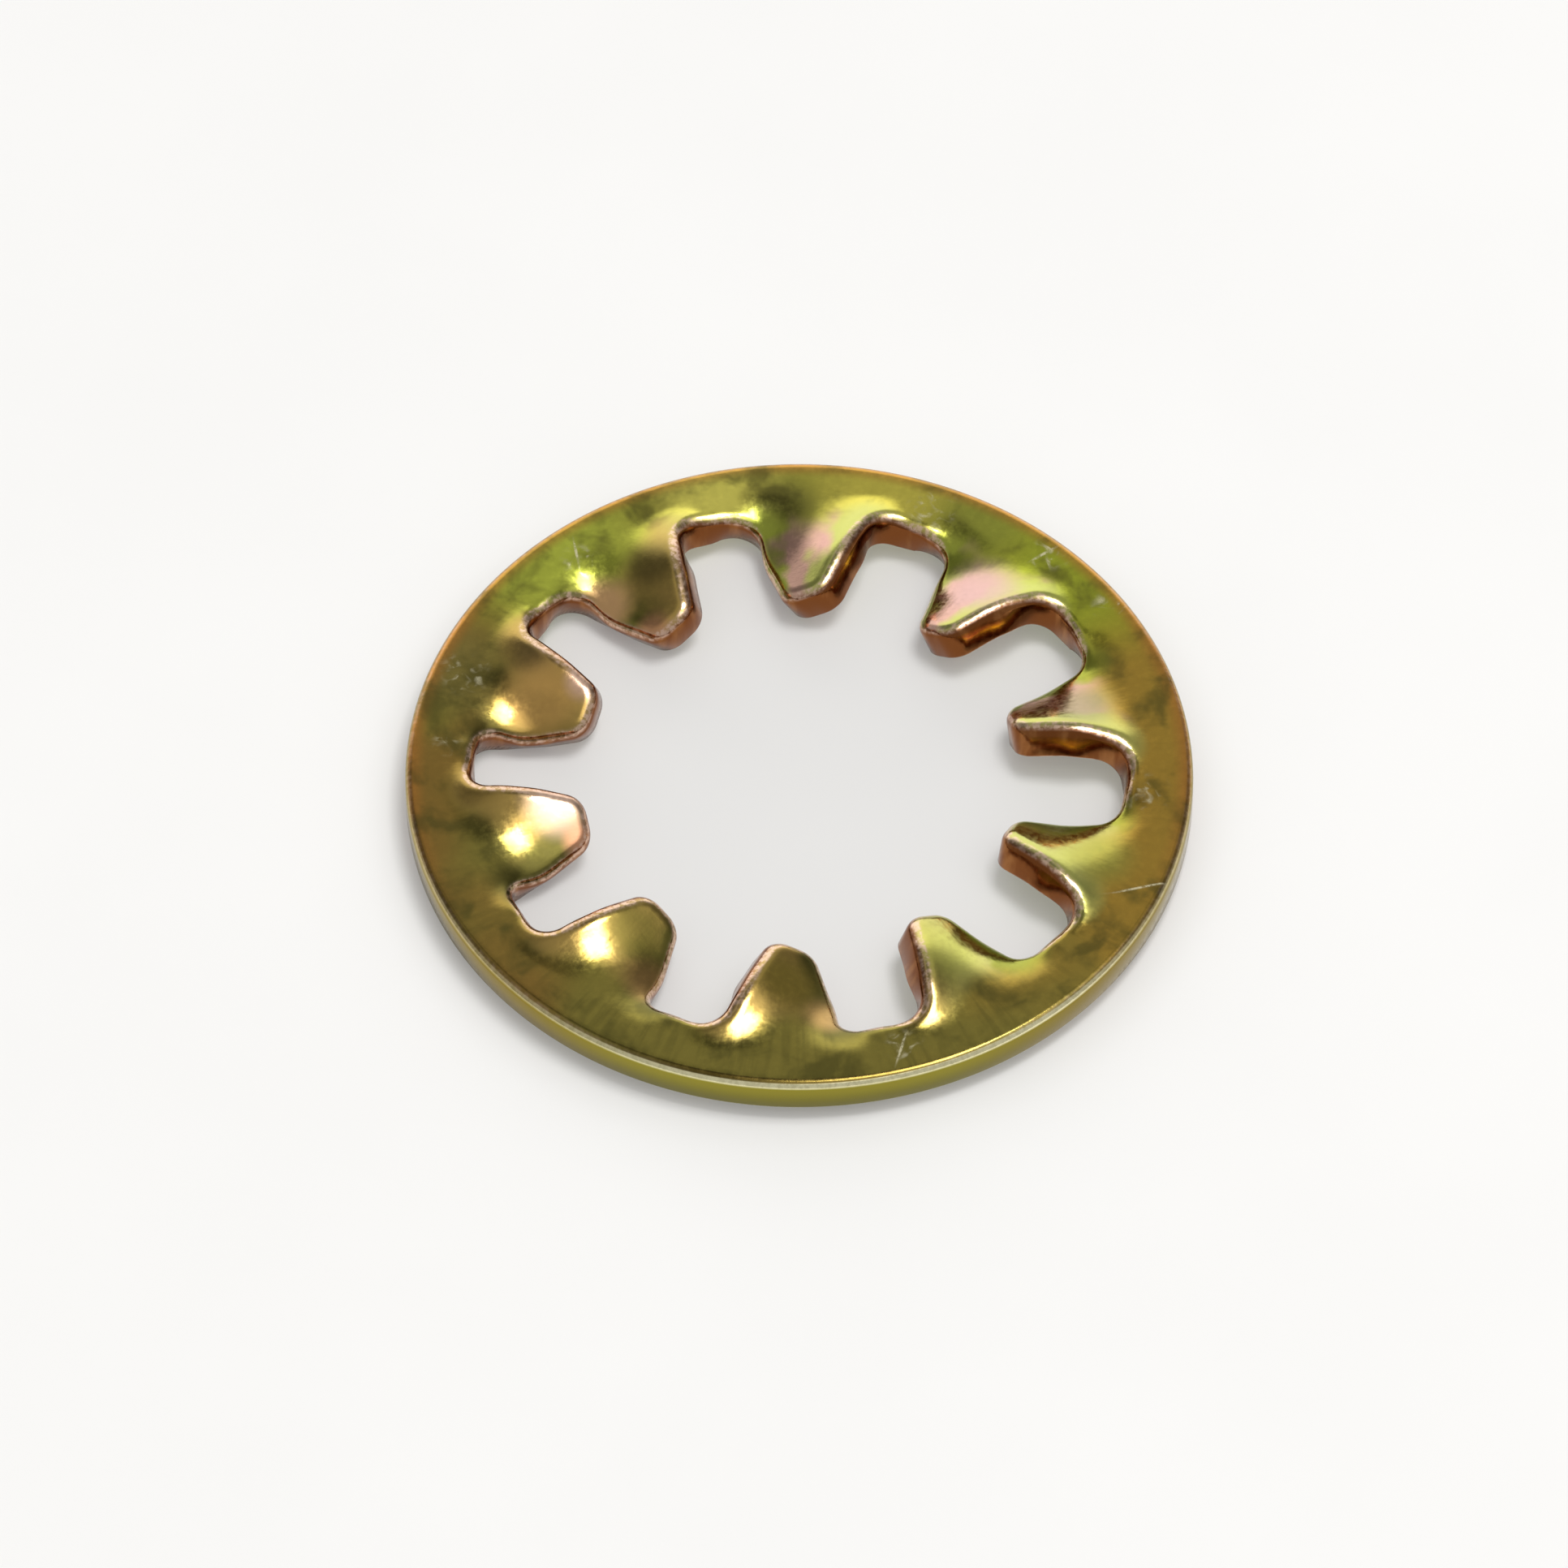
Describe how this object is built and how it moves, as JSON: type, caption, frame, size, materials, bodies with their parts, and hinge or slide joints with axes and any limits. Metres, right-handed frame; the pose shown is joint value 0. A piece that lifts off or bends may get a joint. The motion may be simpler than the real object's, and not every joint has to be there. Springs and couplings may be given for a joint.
{
  "type": "internal tooth lock washer",
  "caption": "Flat spring steel lock washer ring with twisted teeth pointing inwards at the screw hole.",
  "frame": {"origin": "on the washer's axis, in the plane that the lowest tooth corners stand on", "axes": "+Z along the washer's axis, up through the ring; one tooth points from the axis along +X"},
  "size_m": [0.015, 0.015, 0.0014],
  "materials": {
    "plated_steel": "yellow zinc plating, satin, faintly iridescent"
  },
  "bodies": {
    "root": {"lock_washer": "plated_steel"}
  },
  "joints": []
}
